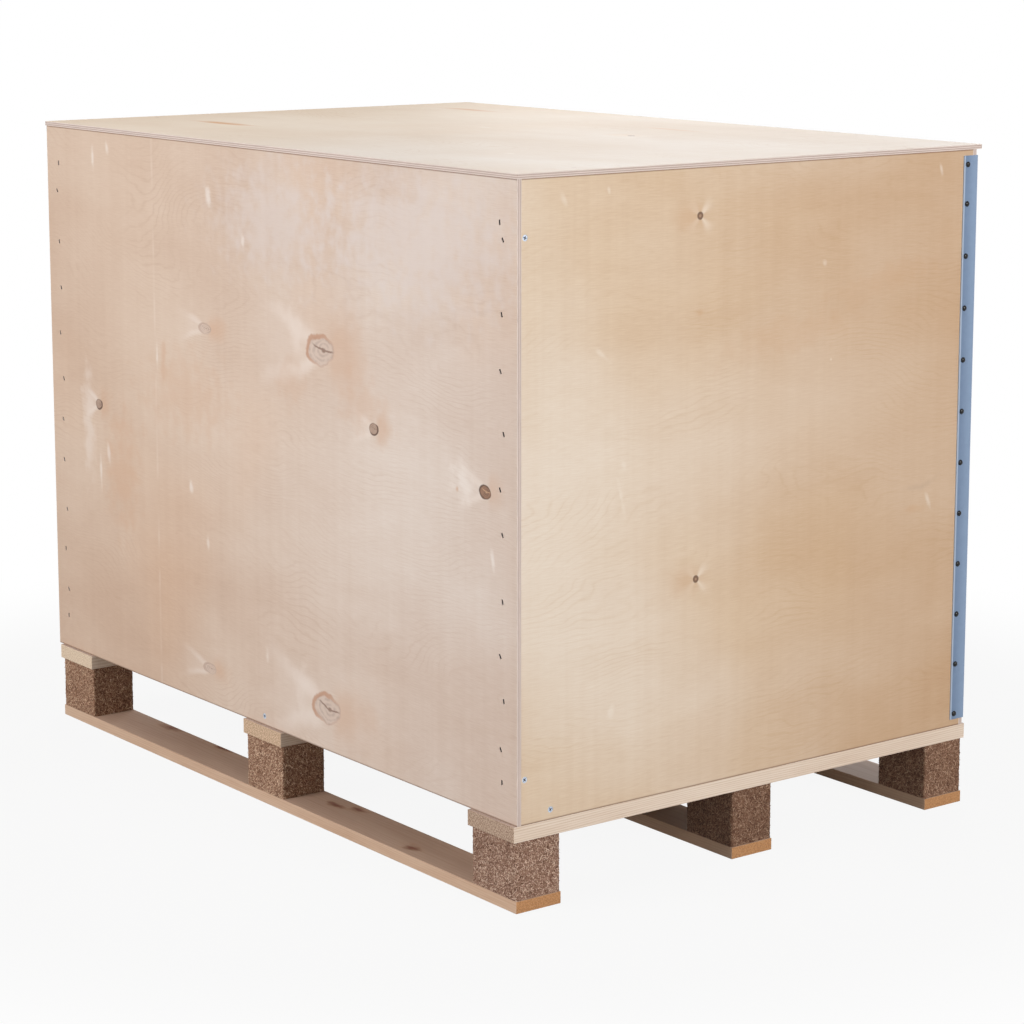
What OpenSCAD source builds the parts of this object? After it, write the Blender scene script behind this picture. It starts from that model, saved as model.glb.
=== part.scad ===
// Plywood pallet collar with a loose lid, screwed to a nine-block pallet.
// The long panels overlap the end panels. The front corners are nailed and screwed to upright
// battens, and the rear corners are riveted inside steel angles.
// Origin: centre of the pallet's underside. +X runs along the pallet to the right end, +Y to the rear.

/* [Pallet] */
// Length of the runners
pallet_l = 1178; // [900:1:1500]
// Length of the bearers, across the pallet
pallet_w = 800; // [600:1:1100]
// Width of a runner and of the blocks on it
runner_w = 71; // [60:1:110]
// Thickness of a runner
runner_t = 16; // [12:1:30]
// How far the outer runners stand in from the bearer ends
runner_inset = 4; // [0:1:20]
// Length of a block along its runner
block_l = 94; // [80:1:140]
// Height of a block
block_h = 77; // [65:1:110]
// How far the outer blocks stand in from the runner ends
block_inset = 1; // [0:1:10]
// Radius of a block's upright edges
block_edge_r = 3; // [1:0.5:8]
// Width of a bearer
bearer_w = 98; // [85:1:150]
// Thickness of a bearer
bearer_t = 21; // [18:1:30]
// Thickness of a deck board
deck_t = 22; // [18:1:30]
// Gap between neighbouring deck boards
deck_gap = 12; // [3:1:25]
// Clearance between the deck and the rivet tails inside the collar
deck_clear = 0.5; // [0.3:0.1:3]

/* [Collar] */
// Height of the collar
collar_h = 812; // [400:1:1100]
// Thickness of the wall plywood
ply_t = 6.5; // [5:0.5:12]
// How far the bearer ends stand out past the long panels
bearer_ledge = 5; // [1:1:20]
// How far the collar reaches past the pallet's left end
collar_overhang = 12; // [0:1:15]

/* [Front corner battens] */
// Width of a batten along the front panel
batten_w = 50; // [40:1:80]
// Thickness of a batten into the box
batten_t = 20; // [16:1:40]
// How far a batten stops below the collar's rim
batten_drop = 3; // [1:1:40]
// Height of the lowest batten nail above the collar's foot
batten_nail_first = 50; // [40:1:90]
// Distance of the top batten nail from the collar's rim
batten_nail_last = 55; // [40:1:120]
// How far a hand-driven nail strays from its line
batten_nail_stray = 4; // [0:0.5:5]
// Height of the lower corner screw above the collar's foot
corner_screw_low = 59; // [35:1:150]
// Distance of the upper corner screw below the collar's rim
corner_screw_high = 72; // [20:1:150]
// Depth of the corner screws behind the front panel's inside
corner_screw_bite = 5.5; // [4:0.5:8]

/* [Rear steel angles] */
// Width of an angle's flange on the panel
angle_flange = 25; // [20:1:50]
// Thickness of the angle's steel
angle_t = 1.5; // [1:0.1:3]
// Outside radius of the angle's bend
angle_bend_r = 1; // [0.4:0.1:1]
// Gap between the angle's top and the collar's rim
angle_top_gap = 8; // [2:1:60]
// Gap between the angle's foot and the collar's foot
angle_foot_gap = 10; // [2:1:60]
// Distance of the rivet row from the flange's free edge
rivet_edge = 7; // [5:0.5:9]
// Distance between rivets
rivet_pitch = 72; // [40:1:120]
// Distance of the lowest rivet from the angle's foot
rivet_foot = 8; // [6:1:30]
// Distance of the top rivet from the angle's top
rivet_top = 12; // [6:1:30]
// Diameter of a rivet's dome
rivet_head_d = 8; // [6:0.5:10]
// Height of a rivet's dome
rivet_head_h = 2.6; // [1.5:0.1:3.5]
// Diameter of a rivet's shank
rivet_shank_d = 4; // [3:0.1:5]
// Diameter of a rivet's clenched tail
rivet_tail_d = 7; // [6:0.5:9]
// Height of a rivet's clenched tail
rivet_tail_h = 1.5; // [0.8:0.1:2]

/* [Screws and nails] */
// Length of a wood screw, head included
screw_l = 25; // [20:1:27]
// Diameter of a screw's shank
screw_d = 4; // [3:0.1:5]
// Diameter of a screw's countersunk head
screw_head_d = 8; // [6:0.1:10]
// Height of the base screws above the collar's foot
base_screw_h = 13; // [8:1:14]
// Distance of the end panels' base screws from the front panel's face
base_screw_in = 53; // [35:1:90]
// Diameter of a pallet nail's shank
nail_d = 3; // [2:0.1:4]
// Diameter of a pallet nail's head
nail_head_d = 7; // [5:0.1:8]
// Thickness of a pallet nail's head
nail_head_t = 1.2; // [0.6:0.1:2]
// Diameter of a collar or lid nail's shank
pin_d = 2; // [1.2:0.1:2.5]
// Length of a collar or lid nail's oblong head
pin_head_l = 6.4; // [5:0.1:8]
// Width of a collar or lid nail's oblong head
pin_head_w = 2.8; // [2.6:0.1:3.5]
// Thickness of a collar or lid nail's head
pin_head_t = 0.8; // [0.4:0.1:1.5]
// How far a collar or lid nail's head is sunk below the surface
pin_sink = 0.8; // [0.1:0.1:1]
// Most that a collar nail's head leans from upright
pin_lean = 34; // [0:1:45]
// How far a screw's or pallet nail's head is sunk below the surface
head_sink = 0.3; // [0.1:0.1:0.5]
// Wood left past the tip of a nail
tip_cover = 5; // [3:0.5:8]
// Radial clearance of each fastener in its hole
hole_clear = 0.1; // [0.05:0.05:0.3]

/* [Lid] */
// Thickness of the lid's plywood
lid_t = 6.5; // [5:0.5:12]
// How far the lid reaches past the rear panel
lid_over_rear = 10; // [5:1:30]
// How far the lid reaches past the left end panel
lid_over_left = 4; // [0:1:30]
// Length of a lid cleat, along the end panel
cleat_l = 108; // [90:1:200]
// Width of a lid cleat
cleat_w = 38; // [30:1:60]
// Depth of a lid cleat
cleat_t = 20; // [16:1:30]
// Play between a cleat and the end panel beside it
cleat_play = 3; // [2.5:0.5:10]
// Distance of a cleat from the long panel's face at its end
cleat_in = 90; // [60:1:150]
// Distance of a cleat's nails from its ends
cleat_nail_end = 20; // [10:1:40]

/* [Hidden] */
$fn = 32;

// Sides and places along a side, as signs
left = -1;
right = 1;
front = -1;
rear = 1;
middle = 0;
places = [-1, 0, 1];
ends = [-1, 1];

// Levels
bearer_z = runner_t + block_h;
foot_z = bearer_z + bearer_t;
deck_top_z = foot_z + deck_t;
rim_z = foot_z + collar_h;
lid_top_z = rim_z + lid_t;

// Collar
collar_w = pallet_w - 2 * bearer_ledge;
half_w = collar_w / 2;
collar_right = pallet_l / 2;
collar_left = -pallet_l / 2 - collar_overhang;
collar_l = collar_right - collar_left;

// Deck boards
deck_count = 7;
deck_in = ply_t + rivet_tail_h + deck_clear;
deck_x = collar_left + deck_in;
deck_l = collar_l - 2 * deck_in;
deck_w = collar_w - 2 * deck_in;
board_w = (deck_w - (deck_count - 1) * deck_gap) / deck_count;

// Corner battens and their nails
batten_h = rim_z - batten_drop - deck_top_z;
batten_mid = ply_t + batten_w / 2;
batten_pin_l = ply_t + batten_t - tip_cover;
batten_nail_span = collar_h - batten_nail_first - batten_nail_last;

// Heights of the hand-driven batten nails, as shares of the way from the lowest to the top one
left_nail_shares = [0, 0.06, 0.15, 0.24, 0.35, 0.44, 0.53, 0.63, 0.73, 0.83, 0.94, 1];
right_nail_shares = [0, 0.06, 0.15, 0.23, 0.33, 0.45, 0.53, 0.63, 0.74, 0.84, 0.97, 1];

// Turn per nail of the waves that give a hand-driven row its stray and lean
stray_turn = 140;
lean_turn = 97;

// Steel angles and their rivets: an even row from the foot, and one more at the top
angle_z = foot_z + angle_foot_gap;
angle_h = collar_h - angle_foot_gap - angle_top_gap;
rivet_in = angle_flange - rivet_edge;
rivet_row = floor((angle_h - rivet_foot - rivet_top - rivet_head_d) / rivet_pitch);
rivet_heights = concat(
    [for (i = [0 : rivet_row]) angle_z + rivet_foot + i * rivet_pitch],
    [angle_z + angle_h - rivet_top]
);

// Pallet nails: bearer and runner nails take opposite diagonals of a block
block_nail_x = block_l / 2 - 3 * nail_head_d;
block_nail_y = runner_w / 4;
deck_nail_x = nail_head_d;
deck_nail_y = board_w / 4;
deck_nail_l = deck_t + bearer_t - tip_cover;
bearer_nail_l = bearer_t + block_h / 2;
runner_nail_l = runner_t + block_h / 2;

// Lid
lid_x = collar_left - lid_over_left;
lid_l = collar_l + lid_over_left;
lid_w = collar_w + lid_over_rear;
lid_pin_l = lid_t + cleat_t - tip_cover;

// How far a cutting shape runs past a surface
cut_over = 1;

ply_colour = "burlywood";
edge_colour = "tan";
sawn_colour = "wheat";
chip_colour = "sienna";
zinc_colour = "lightsteelblue";
dark_colour = "dimgray";

// Places of the repeated pieces
function runner_y(p) = p * (pallet_w / 2 - runner_inset - runner_w / 2);
function block_x(p) = p * (pallet_l / 2 - block_inset - block_l / 2);
function bearer_x(p) = p * (pallet_l / 2 - bearer_w / 2);
function board_y(i) = -deck_w / 2 + i * (board_w + deck_gap);
function end_x(side) = side == left ? collar_left : collar_right;
function in_from_end(side, d) = end_x(side) - side * d;
function cleat_y(side) = side == front ? -half_w + cleat_in : half_w - cleat_in - cleat_l;

// Directions in which a fastener is driven. Fasteners are drawn with the head up, tip down.
module drive_up() rotate([180, 0, 0]) children();
module drive_along_y(side) rotate([-90 * side, 0, 0]) children();
module drive_along_x(side) rotate([0, 90 * side, 0]) children();

// Round-headed nail, head at the surface. With a clearance it is the hole for that nail.
module pallet_nail(l, clear = 0) {
    top = clear > 0 ? cut_over : -head_sink;
    seat = -head_sink - nail_head_t - clear;
    rotate_extrude() polygon([
        [0, top],
        [nail_head_d / 2 + clear, top],
        [nail_head_d / 2 + clear, seat],
        [nail_d / 2 + clear, seat],
        [nail_d / 2 + clear, nail_d - l],
        [0, -l - clear]
    ]);
}

// Nail with an oblong head along Y, head at the surface. With a clearance it is the hole for that nail.
module pin(l, lean = 0, clear = 0) {
    top = clear > 0 ? cut_over : -pin_sink;
    seat = -pin_sink - pin_head_t - clear;
    root = seat + pin_head_t / 2;
    head_w = pin_head_w + 2 * clear;
    head_l = pin_head_l + 2 * clear;
    rotate([0, 0, lean]) translate([-head_w / 2, -head_l / 2, seat]) cube([head_w, head_l, top - seat]);
    rotate_extrude() polygon([
        [0, root],
        [pin_d / 2 + clear, root],
        [pin_d / 2 + clear, pin_d - l],
        [0, -l - clear]
    ]);
}

// Countersunk wood screw, head at the surface. With a clearance it is the hole for that screw.
module screw(clear = 0) {
    head_h = (screw_head_d - screw_d) / 2;
    rim = screw_head_d / 2 + clear;
    top = clear > 0 ? cut_over : -head_sink;
    rotate_extrude() polygon([
        [0, top],
        [rim, top],
        [rim, -head_sink],
        [screw_d / 2 + clear, -head_sink - head_h],
        [screw_d / 2 + clear, screw_d - screw_l],
        [0, -screw_l - clear]
    ]);
}

// Domed rivet through the angle and one panel, clenched on the panel's inside.
// The dome's seat lies at height 0.
module rivet() {
    grip = angle_t + ply_t;
    dome_r = (pow(rivet_head_d / 2, 2) + pow(rivet_head_h, 2)) / (2 * rivet_head_h);
    intersection() {
        translate([0, 0, rivet_head_h - dome_r]) sphere(dome_r);
        cylinder(d = rivet_head_d, h = rivet_head_h);
    }
    translate([0, 0, -grip]) cylinder(d = rivet_shank_d, h = grip);
    translate([0, 0, -grip - rivet_tail_h]) cylinder(d = rivet_tail_d, h = rivet_tail_h);
}

module rivet_hole() {
    grip = angle_t + ply_t;
    translate([0, 0, -grip - cut_over])
        cylinder(d = rivet_shank_d + 2 * hole_clear, h = grip + 2 * cut_over);
}

// Pallet fasteners, as nails or as the holes for them
module runner_nail_pair(px, py, clear = 0) {
    for (s = ends)
        translate([block_x(px) + s * block_nail_x, runner_y(py) - s * block_nail_y, 0])
            drive_up() pallet_nail(runner_nail_l, clear);
}

module bearer_nail_pair(px, py, clear = 0) {
    for (s = ends)
        translate([block_x(px) + s * block_nail_x, runner_y(py) + s * block_nail_y, foot_z])
            pallet_nail(bearer_nail_l, clear);
}

module deck_nail_pair(px, i, clear = 0) {
    for (s = ends)
        translate([bearer_x(px) + s * deck_nail_x, board_y(i) + board_w / 2 + s * deck_nail_y, deck_top_z])
            pallet_nail(deck_nail_l, clear);
}

// Collar fasteners, as solids or as the holes for them
module batten_nail_row(side, clear = 0) {
    shares = side == left ? left_nail_shares : right_nail_shares;
    for (i = [0 : len(shares) - 1]) {
        stray = batten_nail_stray * sin(i * stray_turn);
        lean = pin_lean * abs(sin(i * lean_turn));
        z = foot_z + batten_nail_first + shares[i] * batten_nail_span;
        translate([in_from_end(side, batten_mid + stray), -half_w, z])
            drive_along_y(front) pin(batten_pin_l, lean, clear);
    }
}

module corner_screw_pair(side, clear = 0) {
    y = -half_w + ply_t + corner_screw_bite;
    for (z = [foot_z + corner_screw_low, rim_z - corner_screw_high])
        translate([end_x(side), y, z]) drive_along_x(side) screw(clear);
}

module end_base_screw(side, clear = 0) {
    translate([end_x(side), -half_w + base_screw_in, foot_z + base_screw_h])
        drive_along_x(side) screw(clear);
}

module long_base_screw(side, clear = 0) {
    translate([0, side * half_w, foot_z + base_screw_h]) drive_along_y(side) screw(clear);
}

// Children along the rivet rows of one rear corner, on the end panel and on the rear panel
module at_end_rivets(side) {
    for (z = rivet_heights)
        translate([end_x(side) + side * angle_t, half_w - rivet_in, z]) drive_along_x(side) children();
}

module at_rear_rivets(side) {
    for (z = rivet_heights)
        translate([in_from_end(side, rivet_in), half_w + angle_t, z]) drive_along_y(rear) children();
}

module lid_nail_pair(side_x, side_y, clear = 0) {
    x = in_from_end(side_x, ply_t + cleat_play + cleat_w / 2);
    for (d = [cleat_nail_end, cleat_l - cleat_nail_end])
        translate([x, cleat_y(side_y) + d, lid_top_z]) pin(lid_pin_l, clear = clear);
}

// Pallet pieces
module runner(py) {
    color(edge_colour) difference() {
        translate([-pallet_l / 2, runner_y(py) - runner_w / 2, 0]) cube([pallet_l, runner_w, runner_t]);
        for (px = places) runner_nail_pair(px, py, hole_clear);
    }
}

module block(px, py) {
    color(chip_colour) difference() {
        translate([block_x(px) - block_l / 2, runner_y(py) - runner_w / 2, runner_t])
            linear_extrude(block_h) rounded_rectangle(block_l, runner_w, block_edge_r);
        runner_nail_pair(px, py, hole_clear);
        bearer_nail_pair(px, py, hole_clear);
    }
}

module rounded_rectangle(l, w, r) {
    translate([r, 0]) square([l - 2 * r, w]);
    translate([0, r]) square([l, w - 2 * r]);
    for (x = [r, l - r], y = [r, w - r]) translate([x, y]) circle(r);
}

module bearer(px) {
    color(sawn_colour) difference() {
        translate([bearer_x(px) - bearer_w / 2, -pallet_w / 2, bearer_z]) cube([bearer_w, pallet_w, bearer_t]);
        for (py = places) bearer_nail_pair(px, py, hole_clear);
        for (i = [0 : deck_count - 1]) deck_nail_pair(px, i, hole_clear);
    }
}

module deck_board(i) {
    color(sawn_colour) difference() {
        translate([deck_x, board_y(i), foot_z]) cube([deck_l, board_w, deck_t]);
        for (px = places) deck_nail_pair(px, i, hole_clear);
        if (i == 0) for (side = ends) end_base_screw(side, hole_clear);
        if (i == 0) long_base_screw(front, hole_clear);
        if (i == deck_count - 1) long_base_screw(rear, hole_clear);
    }
}

module runner_nails() {
    color(zinc_colour) for (px = places, py = places) runner_nail_pair(px, py);
}

module bearer_nails() {
    color(zinc_colour) for (px = places, py = places) bearer_nail_pair(px, py);
}

module deck_nails() {
    color(zinc_colour) for (px = places, i = [0 : deck_count - 1]) deck_nail_pair(px, i);
}

// Collar pieces
module front_panel() {
    color(ply_colour) difference() {
        translate([collar_left, -half_w, foot_z]) cube([collar_l, ply_t, collar_h]);
        for (side = ends) batten_nail_row(side, hole_clear);
        long_base_screw(front, hole_clear);
    }
}

module rear_panel() {
    color(ply_colour) difference() {
        translate([collar_left, half_w - ply_t, foot_z]) cube([collar_l, ply_t, collar_h]);
        for (side = ends) at_rear_rivets(side) rivet_hole();
        long_base_screw(rear, hole_clear);
    }
}

module end_panel(side) {
    x = side == left ? collar_left : collar_right - ply_t;
    color(ply_colour) difference() {
        translate([x, -half_w + ply_t, foot_z]) cube([ply_t, collar_w - 2 * ply_t, collar_h]);
        at_end_rivets(side) rivet_hole();
        corner_screw_pair(side, hole_clear);
        end_base_screw(side, hole_clear);
    }
}

module corner_batten(side) {
    x = side == left ? collar_left + ply_t : collar_right - ply_t - batten_w;
    color(sawn_colour) difference() {
        translate([x, -half_w + ply_t, deck_top_z]) cube([batten_w, batten_t, batten_h]);
        batten_nail_row(side, hole_clear);
        corner_screw_pair(side, hole_clear);
    }
}

module batten_nails(side) {
    color(dark_colour) batten_nail_row(side);
}

module corner_screws() {
    color(zinc_colour) for (side = ends) corner_screw_pair(side);
}

module base_screws() {
    color(zinc_colour) for (side = ends) {
        end_base_screw(side);
        long_base_screw(side);
    }
}

// Section of a right-hand angle, with the collar's corner at the origin
module angle_section() {
    straight = angle_flange + angle_t - angle_bend_r;
    translate([0, -angle_flange]) square([angle_t, straight]);
    translate([-angle_flange, 0]) square([straight, angle_t]);
    intersection() {
        square(angle_t);
        translate([angle_t - angle_bend_r, angle_t - angle_bend_r]) circle(angle_bend_r);
    }
}

module corner_angle(side) {
    color(zinc_colour) difference() {
        translate([end_x(side), half_w, angle_z]) linear_extrude(angle_h)
            mirror([side == left ? 1 : 0, 0]) angle_section();
        at_end_rivets(side) rivet_hole();
        at_rear_rivets(side) rivet_hole();
    }
}

module angle_rivets(side) {
    color(dark_colour) {
        at_end_rivets(side) rivet();
        at_rear_rivets(side) rivet();
    }
}

// Lid pieces
module lid_panel() {
    color(ply_colour) difference() {
        translate([lid_x, -half_w, rim_z]) cube([lid_l, lid_w, lid_t]);
        for (side_x = ends, side_y = ends) lid_nail_pair(side_x, side_y, hole_clear);
    }
}

module lid_cleat(side_x, side_y) {
    x = side_x == left ? collar_left + ply_t + cleat_play : collar_right - ply_t - cleat_play - cleat_w;
    color(sawn_colour) difference() {
        translate([x, cleat_y(side_y), rim_z - cleat_t]) cube([cleat_w, cleat_l, cleat_t]);
        lid_nail_pair(side_x, side_y, hole_clear);
    }
}

module lid_nails() {
    color(dark_colour) for (side_x = ends, side_y = ends) lid_nail_pair(side_x, side_y);
}

runner(front);  // runner_front
runner(middle);  // runner_middle
runner(rear);  // runner_rear
block(left, front);  // block_front_left
block(middle, front);  // block_front_middle
block(right, front);  // block_front_right
block(left, middle);  // block_middle_left
block(middle, middle);  // block_centre
block(right, middle);  // block_middle_right
block(left, rear);  // block_rear_left
block(middle, rear);  // block_rear_middle
block(right, rear);  // block_rear_right
bearer(left);  // bearer_left
bearer(middle);  // bearer_middle
bearer(right);  // bearer_right
deck_board(0);  // deck_board_1
deck_board(1);  // deck_board_2
deck_board(2);  // deck_board_3
deck_board(3);  // deck_board_4
deck_board(4);  // deck_board_5
deck_board(5);  // deck_board_6
deck_board(6);  // deck_board_7
runner_nails();
bearer_nails();
deck_nails();
front_panel();
rear_panel();
end_panel(left);  // left_end_panel
end_panel(right);  // right_end_panel
corner_batten(left);  // corner_batten_left
corner_batten(right);  // corner_batten_right
batten_nails(left);  // batten_nails_left
batten_nails(right);  // batten_nails_right
corner_screws();
base_screws();
corner_angle(left);  // corner_angle_left
corner_angle(right);  // corner_angle_right
angle_rivets(left);  // angle_rivets_left
angle_rivets(right);  // angle_rivets_right
lid_panel();
lid_nails();
lid_cleat(left, front);  // lid_cleat_front_left
lid_cleat(right, front);  // lid_cleat_front_right
lid_cleat(left, rear);  // lid_cleat_rear_left
lid_cleat(right, rear);  // lid_cleat_rear_right
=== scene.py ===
import math
from functools import partialmethod

import bmesh
import bpy
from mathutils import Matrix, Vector


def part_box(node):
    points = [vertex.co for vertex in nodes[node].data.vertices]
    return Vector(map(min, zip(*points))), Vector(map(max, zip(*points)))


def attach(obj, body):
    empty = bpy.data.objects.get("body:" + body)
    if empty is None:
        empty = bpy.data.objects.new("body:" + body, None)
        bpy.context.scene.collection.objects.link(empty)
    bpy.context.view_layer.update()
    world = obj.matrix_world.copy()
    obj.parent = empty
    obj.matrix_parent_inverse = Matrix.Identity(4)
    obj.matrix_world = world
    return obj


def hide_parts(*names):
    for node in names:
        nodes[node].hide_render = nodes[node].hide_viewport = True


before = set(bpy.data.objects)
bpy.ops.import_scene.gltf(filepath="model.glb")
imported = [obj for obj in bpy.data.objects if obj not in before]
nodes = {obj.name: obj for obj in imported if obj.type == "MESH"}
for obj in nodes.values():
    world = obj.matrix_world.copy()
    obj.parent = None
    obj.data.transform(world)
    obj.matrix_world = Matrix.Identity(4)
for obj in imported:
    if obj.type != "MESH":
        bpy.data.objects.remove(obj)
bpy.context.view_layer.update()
scene = bpy.context.scene
scene.view_settings.view_transform = "Standard"
mm = 0.001
print("frame loaded,", len(nodes), "CAD pieces")


# small helpers

def paint(red, green, blue):  # screen colour, 0 to 255, as the linear colour that sockets take
    def step(c):
        c /= 255
        return c / 12.92 if c <= 0.04045 else ((c + 0.055) / 1.055) ** 2.4
    return step(red), step(green), step(blue), 1.0


def paints(**tones):
    return {name: paint(*tone) for name, tone in tones.items()}


class Graph:  # a node tree with short calls; g is the one in hand
    def __init__(self, tree):
        self.tree, self.nodes = tree, tree.nodes

    def plug(self, value, socket):
        if isinstance(value, bpy.types.NodeSocket):
            self.tree.links.new(value, socket)
        else:
            socket.default_value = value

    def feed(self, node, feeds):
        for key, value in feeds.items():
            self.plug(value, node.inputs[key])

    def add(self, kind, feeds=None, **settings):
        node = self.nodes.new(kind)
        for name, value in settings.items():
            setattr(node, name, value)
        self.feed(node, feeds or {})
        return node

    def first(self, kind, feeds=None, **settings):
        return self.add(kind, feeds, **settings).outputs[0]

    def giving(self, **results):  # feeds the group's outputs, which ends it
        self.feed(self.nodes["Group Output"], results)
        return self.tree

    def place(self, group, feeds):
        return self.add("ShaderNodeGroup", feeds, node_tree=group).outputs

    def calc(self, operation, a, b=0.0, c=0.0):
        return self.first("ShaderNodeMath", {0: a, 1: b, 2: c}, operation=operation)

    plus, minus = partialmethod(calc, "ADD"), partialmethod(calc, "SUBTRACT")
    times, over = partialmethod(calc, "MULTIPLY"), partialmethod(calc, "DIVIDE")
    absolute, larger = partialmethod(calc, "ABSOLUTE"), partialmethod(calc, "MAXIMUM")
    mulAdd = partialmethod(calc, "MULTIPLY_ADD")

    def rootSum(self, a, b):
        return self.calc("SQRT", self.mulAdd(a, a, self.times(b, b)))

    def wave(self, a):  # sine, brought to 0..1
        return self.mulAdd(self.calc("SINE", a), 0.5, 0.5)

    def vec(self, operation, a, b=(0.0, 0.0, 0.0)):
        return self.first("ShaderNodeVectorMath", {0: a, 1: b}, operation=operation)

    def scaled(self, vector, by):
        return self.first("ShaderNodeVectorMath", {0: vector, "Scale": by}, operation="SCALE")

    def join3(self, x, y, z):
        return self.first("ShaderNodeCombineXYZ", {0: x, 1: y, 2: z})

    def split3(self, vector):
        return self.add("ShaderNodeSeparateXYZ", {0: vector}).outputs

    def blend(self, factor, a, b, way="MIX"):
        return self.add("ShaderNodeMix", {0: factor, 6: a, 7: b}, data_type="RGBA", blend_type=way).outputs[2]

    def mottle(self, tone, share, cloud):
        return self.blend(share, tone, cloud, "SOFT_LIGHT")

    def lay(self, tone, mask, share, colour):  # a share of colour over tone, where the mask is
        return self.blend(self.times(mask, share), tone, colour)

    def blendValue(self, factor, a, b):
        return self.first("ShaderNodeMix", {0: factor, 2: a, 3: b}, data_type="FLOAT")

    def fade(self, value, start, end):  # 0 at start, 1 at end, smooth between
        feeds = {0: value, 1: start, 2: end}
        return self.first("ShaderNodeMapRange", feeds, interpolation_type="SMOOTHSTEP")

    def cloud(self, place, stretch, detail=2.0, rough=0.5, twist=0.0):
        feeds = {"Vector": self.vec("MULTIPLY", place, stretch), "Scale": 1.0,
                 "Detail": detail, "Roughness": rough, "Distortion": twist}
        return self.first("ShaderNodeTexNoise", feeds)

    def bump(self, height, strength, depth):
        return self.first("ShaderNodeBump", {"Strength": strength, "Distance": depth, "Height": height})

    def objectPlace(self):
        return self.add("ShaderNodeTexCoord").outputs["Object"]

    def faceNormal(self):
        return self.add("ShaderNodeNewGeometry").outputs["True Normal"]

    def joined(self, *parts):
        both = self.add("GeometryNodeJoinGeometry")
        for part in parts:
            self.plug(part, both.inputs[0])
        return both.outputs[0]

    def moved(self, geometry, z):
        feeds = {"Geometry": geometry, "Translation": self.join3(0.0, 0.0, z)}
        return self.first("GeometryNodeTransform", feeds)

    def spun(self, aim, most, seed):  # turned about the way it faces, by chance, up to most
        angle = self.add("FunctionNodeRandomValue", {2: 0.0, 3: most, 8: seed}, data_type="FLOAT").outputs[1]
        turn = self.add("FunctionNodeAxisAngleToRotation", {"Axis": (0.0, 0.0, 1.0), "Angle": angle})
        feeds = {0: aim, 1: turn.outputs[0]}
        return self.first("FunctionNodeRotateRotation", feeds, rotation_space="LOCAL")

    def coated(self, geometry, material):
        return self.first("GeometryNodeSetMaterial", {"Geometry": geometry, "Material": material})


def sockets(kind, *labels):
    return [(label, kind) for label in labels]


def makeGroup(name, takes, gives, kind="ShaderNodeTree"):
    tree = bpy.data.node_groups.new(name, kind)
    for side, wanted in (("INPUT", takes), ("OUTPUT", gives)):
        for label, socket in wanted:
            tree.interface.new_socket(name=label, in_out=side, socket_type="NodeSocket" + socket)
    g = Graph(tree)
    take = g.add("NodeGroupInput").outputs
    g.add("NodeGroupOutput")
    return g, take


def newMaterial(name):
    material = bpy.data.materials.new(name)
    material.use_nodes = True
    g = Graph(material.node_tree)
    g.nodes.clear()
    surface = g.add("ShaderNodeBsdfPrincipled")
    g.plug(surface.outputs[0], g.add("ShaderNodeOutputMaterial").inputs[0])
    return material, g, surface


def dressSurface(g, surface, colour, height, finish):  # bump and roughness follow the same height
    rough = g.mulAdd(height, *finish["rough"])
    g.feed(surface, {"Base Color": colour, "Normal": g.bump(height, *finish["bump"]), "Roughness": rough,
                     "Specular IOR Level": finish["specular"]})


# camera, at the photograph's viewing angle

cameraLook = {"lens": 101.783, "sensor": 36, "shiftY": -0.10, "turn": 52.8752, "tilt": 9.5047,
              "place": (3.36778, -2.50635, 1.22858)}


def setCamera(look):
    lens = bpy.data.cameras.new("camera")
    lens.lens = look["lens"]
    lens.sensor_width = look["sensor"]
    lens.shift_y = look["shiftY"]
    camera = bpy.data.objects.new("camera", lens)
    camera.location = look["place"]
    camera.rotation_euler = (math.radians(90 - look["tilt"]), 0, math.radians(look["turn"]))
    scene.collection.objects.link(camera)
    scene.camera = camera


setCamera(cameraLook)
print("camera set")


# pale floor, white surroundings and soft lamps

stageLook = {
    "floorHalf": 14.0, "floorDrop": 0.0006, "floorColour": (0.31, 0.305, 0.30, 1.0), "floorRough": 0.9,
    "floorGlow": (0.91, 1.0), "glowRun": (0.9, 1.5), "ambient": (0.98, 0.99, 1.0, 1.0), "ambientPower": 0.22,
    "lamps": {  # place, aim, size, power, colour
        "keyLamp": ((-0.2, -3.7, 1.9), (0.0, -0.4, 0.5), 1.9, 96, (1.0, 0.985, 0.97)),
        "cornerLamp": ((2.3, -3.2, 1.5), (0.5, -0.2, 0.5), 0.24, 6, (1.0, 0.99, 0.98)),
        "sideLamp": ((4.3, 0.35, 1.7), (0.5, -0.05, 0.5), 1.25, 110, (1.0, 0.985, 0.965)),
        "topLamp": ((0.0, -0.2, 3.6), (0.0, 0.0, 0.9), 3.0, 34, (1.0, 1.0, 1.0)),
        "rearLamp": ((-3.0, 3.4, 1.3), (0.0, 0.0, 0.5), 2.0, 60, (1.0, 1.0, 1.0)),
        "lowRearLamp": ((-3.0, 3.2, 0.5), (0.0, 0.0, 0.5), 0.8, 34, (1.0, 0.99, 0.98)),
    },
}
white = (1, 1, 1, 1)


def seenRay(g):  # camera, mirror and glass rays see plain white
    path = g.add("ShaderNodeLightPath").outputs
    shiny = g.larger(path["Is Glossy Ray"], path["Is Transmission Ray"])
    return g.larger(path["Is Camera Ray"], shiny)


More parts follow.
